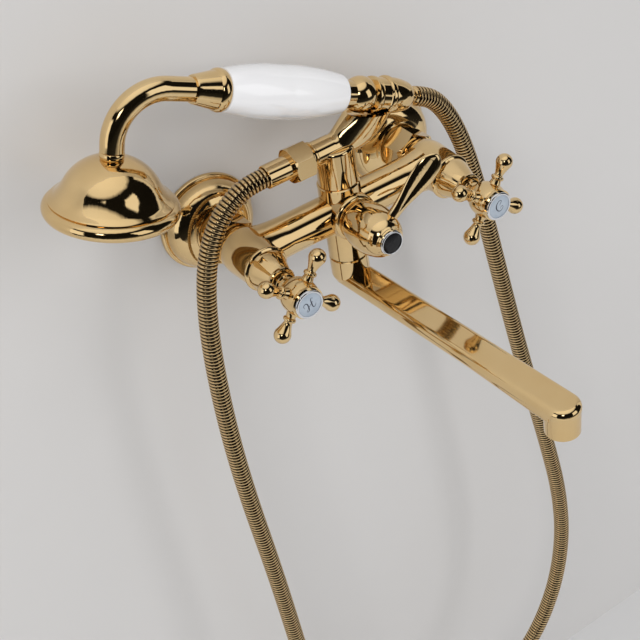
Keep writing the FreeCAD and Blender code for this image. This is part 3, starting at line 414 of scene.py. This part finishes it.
def turned(name, outline, place, finish, body, *stands_for, sides=112, slot=None, split=30):
    """Spin a closed outline of (radius, height) in millimetres about Z, then lay it at its place."""
    bm = bmesh.new()
    rings = []
    for i in range(sides):
        a = 2 * math.pi * i / sides
        rings.append([bm.verts.new((r * MM * math.cos(a), r * MM * math.sin(a), h * MM)) for r, h in outline])
    n = len(outline)
    for i in range(sides):
        here, there = rings[i], rings[(i + 1) % sides]
        for k in range(n):
            bm.faces.new((here[k], there[k], there[(k + 1) % n], here[(k + 1) % n]))
    bmesh.ops.remove_doubles(bm, verts=bm.verts, dist=1e-7)
    bmesh.ops.recalc_face_normals(bm, faces=bm.faces)
    bm.transform(place)
    mesh = bpy.data.meshes.new(name)
    bm.to_mesh(mesh)
    bm.free()
    mesh.polygons.foreach_set("use_smooth", [True] * len(mesh.polygons))
    piece = new_piece(name, mesh, finish, body, *stands_for, slot=slot)
    edges = piece.modifiers.new("edges", "EDGE_SPLIT")
    edges.split_angle = math.radians(split)
    return piece


def handset_place():
    """The hand shower's own frame, with the grip's axis along its Z."""
    return Matrix.Translation(HANDSET_AT) @ Matrix.Rotation(HANDSET_PITCH, 4, "Y") @ Matrix.Rotation(math.pi / 2, 4, "Y")


def build_grip():
    a, b = -108.0, -20.0
    outline = [(6.5, a), (12.5, a), (13.05, a + 0.24), (13.3, a + 0.8)]
    outline += arc((13.3, a + 0.8), (16.4, a + 21), (16.8, a + 42), 40)[1:]
    outline += arc((16.8, a + 42), (15.9, a + 66), (12.4, b - 0.8), 40)[1:]
    outline += [(12.15, b - 0.22), (11.6, b), (6.5, b)]
    turned("grip_shell", outline, handset_place(), "white_porcelain", "handset", "porcelain_grip", slot="white_porcelain")


# ------------------------------------------------------------------ index letters
def letter(name, strokes, body, x, z_turn, size):
    """A written letter on an index button: round pen strokes laid on the porcelain."""
    curve = bpy.data.curves.new(name, "CURVE")
    curve.dimensions = "3D"
    curve.bevel_depth = 0.00025
    curve.bevel_resolution = 1
    curve.use_fill_caps = True
    for stroke in strokes:
        spline = curve.splines.new("NURBS")
        spline.points.add(len(stroke) - 1)
        for place, (a, b, w) in zip(spline.points, stroke):
            place.co = (a * size, 0, b * size, 1)
            place.radius = w
        spline.order_u = 3
        spline.use_endpoint_u = True
        spline.resolution_u = 8
    holder = bpy.data.objects.new(name, curve)
    bpy.context.scene.collection.objects.link(holder)
    mesh = evaluated(holder, name)
    bpy.data.objects.remove(holder)
    flat = Matrix.Diagonal((1, 0.35, 1, 1))
    mesh.transform(flat)
    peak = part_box(body.replace("handle", "index_button"))[0][1]
    for vertex in mesh.vertices:
        across = math.hypot(vertex.co.x, vertex.co.z) / INDEX_R
        vertex.co.y += peak - 0.00004 + INDEX_CROWN * across ** 2
    mesh.transform(Matrix.Translation((x, 0, 0)) @ Matrix.Rotation(math.radians(z_turn), 4, "Y"))
    for polygon in mesh.polygons:
        polygon.use_smooth = True
    return new_piece(name, mesh, "letter_ink", body)


LETTER_H = [[(-0.78, 0.10, 0.5), (-0.86, 0.44, 0.7), (-0.56, 0.66, 1.0), (-0.26, 0.56, 1.3), (-0.24, 0.2, 1.7),
             (-0.36, -0.34, 1.7), (-0.52, -0.66, 1.1), (-0.80, -0.62, 0.7), (-0.70, -0.36, 0.5), (-0.30, -0.16, 0.6),
             (0.14, 0.02, 0.8), (0.50, 0.22, 0.6)],
            [(0.74, 0.52, 0.5), (0.64, 0.74, 0.8), (0.40, 0.62, 1.2), (0.30, 0.2, 1.7), (0.18, -0.3, 1.7),
             (0.20, -0.64, 1.2), (0.50, -0.68, 0.8), (0.74, -0.36, 0.5)]]
LETTER_C = [[(0.12, 0.16, 0.5), (0.22, 0.40, 0.8), (0.48, 0.44, 0.8), (0.58, 0.68, 0.8), (0.26, 0.84, 0.9),
             (-0.14, 0.70, 1.2), (-0.46, 0.32, 1.7), (-0.50, -0.18, 1.8), (-0.26, -0.62, 1.3), (0.16, -0.72, 0.9),
             (0.52, -0.44, 0.7), (0.50, -0.12, 0.6), (0.20, -0.10, 0.5), (0.06, -0.34, 0.5)]]


# ------------------------------------------------------------------ set: wall, floor and light
def sheet_of(name, corners, colour, shine=0.6):
    mesh = bpy.data.meshes.new(name)
    mesh.from_pydata(corners, [], [(0, 1, 2, 3)])
    piece = bpy.data.objects.new(name, mesh)
    bpy.context.scene.collection.objects.link(piece)
    f = Finish(name, colour, 0.0, shine)
    f.join(f.ramp(f.noise(3.0, 2.0), (0.3, tuple(0.985 * c for c in colour)), (0.7, colour)), f.shader.inputs["Base Color"])
    out = f.tree.nodes["Material Output"]
    clear = f.node("ShaderNodeBsdfTransparent")
    back = f.node("ShaderNodeNewGeometry")
    mix = f.node("ShaderNodeMixShader")
    f.join(back.outputs["Backfacing"], mix.inputs["Fac"])
    f.join(f.shader.outputs["BSDF"], mix.inputs[1])
    f.join(clear.outputs["BSDF"], mix.inputs[2])
    f.join(mix.outputs["Shader"], out.inputs["Surface"])
    mesh.materials.append(f.material)
    return piece


def lamp(name, at, aim, size, power, colour=(1, 1, 1)):
    light = bpy.data.lights.new(name, "AREA")
    light.shape, light.size, light.size_y = "RECTANGLE", size[0], size[1]
    light.energy, light.color = power, colour
    holder = bpy.data.objects.new(name, light)
    bpy.context.scene.collection.objects.link(holder)
    holder.location = at
    holder.rotation_euler = (Vector(aim) - Vector(at)).to_track_quat("-Z", "Y").to_euler()
    holder.visible_glossy = False
    return holder


def build_world():
    world = bpy.data.worlds.new("studio")
    bpy.context.scene.world = world
    world.use_nodes = True
    tree = world.node_tree
    tree.nodes.clear()
    make, join = tree.nodes.new, tree.links.new
    out, back = make("ShaderNodeOutputWorld"), make("ShaderNodeBackground")
    coord = make("ShaderNodeTexCoord").outputs["Generated"]

    def maths(kind, x, y):
        n = make("ShaderNodeMath")
        n.operation = kind
        for i, v in enumerate((x, y)):
            if isinstance(v, (int, float)):
                n.inputs[i].default_value = v
            else:
                join(v, n.inputs[i])
        return n.outputs[0]

    def fade(value, full, none):
        n = make("ShaderNodeMapRange")
        n.interpolation_type = "SMOOTHSTEP"
        n.inputs["From Min"].default_value, n.inputs["From Max"].default_value = none, full
        join(value, n.inputs["Value"])
        return n.outputs["Result"]

    def window(turn, lift, half_wide, half_high, level):
        """A soft-edged bright panel in the dark room, TURN degrees to the right of straight in front."""
        aim = make("ShaderNodeVectorRotate")
        aim.rotation_type = "EULER_XYZ"
        aim.invert = True
        aim.inputs["Rotation"].default_value = (math.radians(-lift), 0, math.radians(turn))
        join(coord, aim.inputs["Vector"])
        split = make("ShaderNodeSeparateXYZ")
        join(aim.outputs["Vector"], split.inputs["Vector"])
        ahead = maths("MULTIPLY", split.outputs["Y"], -1.0)
        across = maths("ABSOLUTE", maths("DIVIDE", split.outputs["X"], ahead), 0.0)
        up = maths("ABSOLUTE", maths("DIVIDE", split.outputs["Z"], ahead), 0.0)
        lit = maths("MULTIPLY", fade(across, half_wide, half_wide + 0.07), fade(up, half_high, half_high + 0.10))
        return maths("MULTIPLY", maths("MULTIPLY", lit, maths("GREATER_THAN", ahead, 0.0)), level)

    split = make("ShaderNodeSeparateXYZ")
    join(coord, split.inputs["Vector"])
    rescale = make("ShaderNodeMapRange")
    rescale.inputs["From Min"].default_value = -1.0
    join(split.outputs["Z"], rescale.inputs["Value"])
    # From the floor up: pale tub, dark room, pale ceiling.
    stops = ((0.0, 0.80), (0.24, 0.75), (0.31, 0.03), (0.50, 0.008), (0.86, 0.010), (0.90, 1.1), (1.0, 1.3))
    height = make("ShaderNodeValToRGB")
    ramp = height.color_ramp
    for i, (at, level) in enumerate(stops):
        stop = ramp.elements[i] if i < 2 else ramp.elements.new(at)
        stop.position, stop.color = at, (level, level * 0.985, level * 0.955, 1)
    join(rescale.outputs["Result"], height.inputs["Fac"])
    panels = [window(*row) for row in ((-92, 14, 0.38, 0.34, 1.35), (30, 12, 0.20, 0.30, 1.25), (104, 10, 0.3, 0.5, 0.9),
                                       (-38, 34, 0.06, 0.06, 5.0))]
    lit = panels[0]
    for panel in panels[1:]:
        lit = maths("ADD", lit, panel)
    room = make("ShaderNodeMix")
    room.data_type, room.blend_type = "RGBA", "ADD"
    room.inputs["Factor"].default_value = 1.0
    sockets = [k for k in room.inputs if k.type == "RGBA"]
    join(height.outputs["Color"], sockets[0])
    join(lit, sockets[1])
    room_colour = [k for k in room.outputs if k.type == "RGBA"][0]
    view = make("ShaderNodeLightPath")
    mix = make("ShaderNodeMix")
    mix.data_type = "RGBA"
    join(view.outputs["Is Glossy Ray"], mix.inputs["Factor"])
    mix.inputs["A"].default_value = (0.80, 0.80, 0.80, 1)
    for socket in mix.inputs:
        if socket.type == "RGBA" and socket.name == "A":
            socket.default_value = (0.80, 0.80, 0.80, 1)
        if socket.type == "RGBA" and socket.name == "B":
            join(room_colour, socket)
    result = [s for s in mix.outputs if s.type == "RGBA"][0]
    join(result, back.inputs["Color"])
    back.inputs["Strength"].default_value = 0.75
    join(back.outputs["Background"], out.inputs["Surface"])


def build_set():
    wall = 0.0004
    sheet_of("studio_wall", [(-2.2, wall, -0.72), (2.2, wall, -0.72), (2.2, wall, 1.6), (-2.2, wall, 1.6)], (0.66, 0.65, 0.645), 0.35)
    sheet_of("studio_floor", [(-2.2, wall, -0.72), (-2.2, -1.1, -0.72), (2.2, -1.1, -0.72), (2.2, wall, -0.72)], (0.70, 0.70, 0.705))
    build_world()
    lamp("window_light", (-1.6, -1.7, 1.7), (0, -0.06, 0), (1.3, 1.3), 34, (1, 0.985, 0.96))
    lamp("fill_light", (1.5, -1.9, 0.7), (0, -0.06, -0.05), (0.6, 1.6), 12)


# ------------------------------------------------------------------ everything
build_hose()
build_grip()
for node in NODES:
    if node in ("hose_outlet_leg", "hose_handset_leg", "porcelain_grip"):
        continue
    if node.endswith("index_button"):
        dress(node, "index_porcelain")
    elif node == "spray_plate":
        dress(node, "gold_plate")
    else:
        dress(node)
letter("letter_hot", LETTER_H, "left_handle", -HALF_SPACING, -22, 0.0052)
letter("letter_cold", LETTER_C, "right_handle", HALF_SPACING, -14, 0.0052)
build_set()
bpy.context.scene.view_settings.view_transform = "Standard"
bpy.context.view_layer.update()
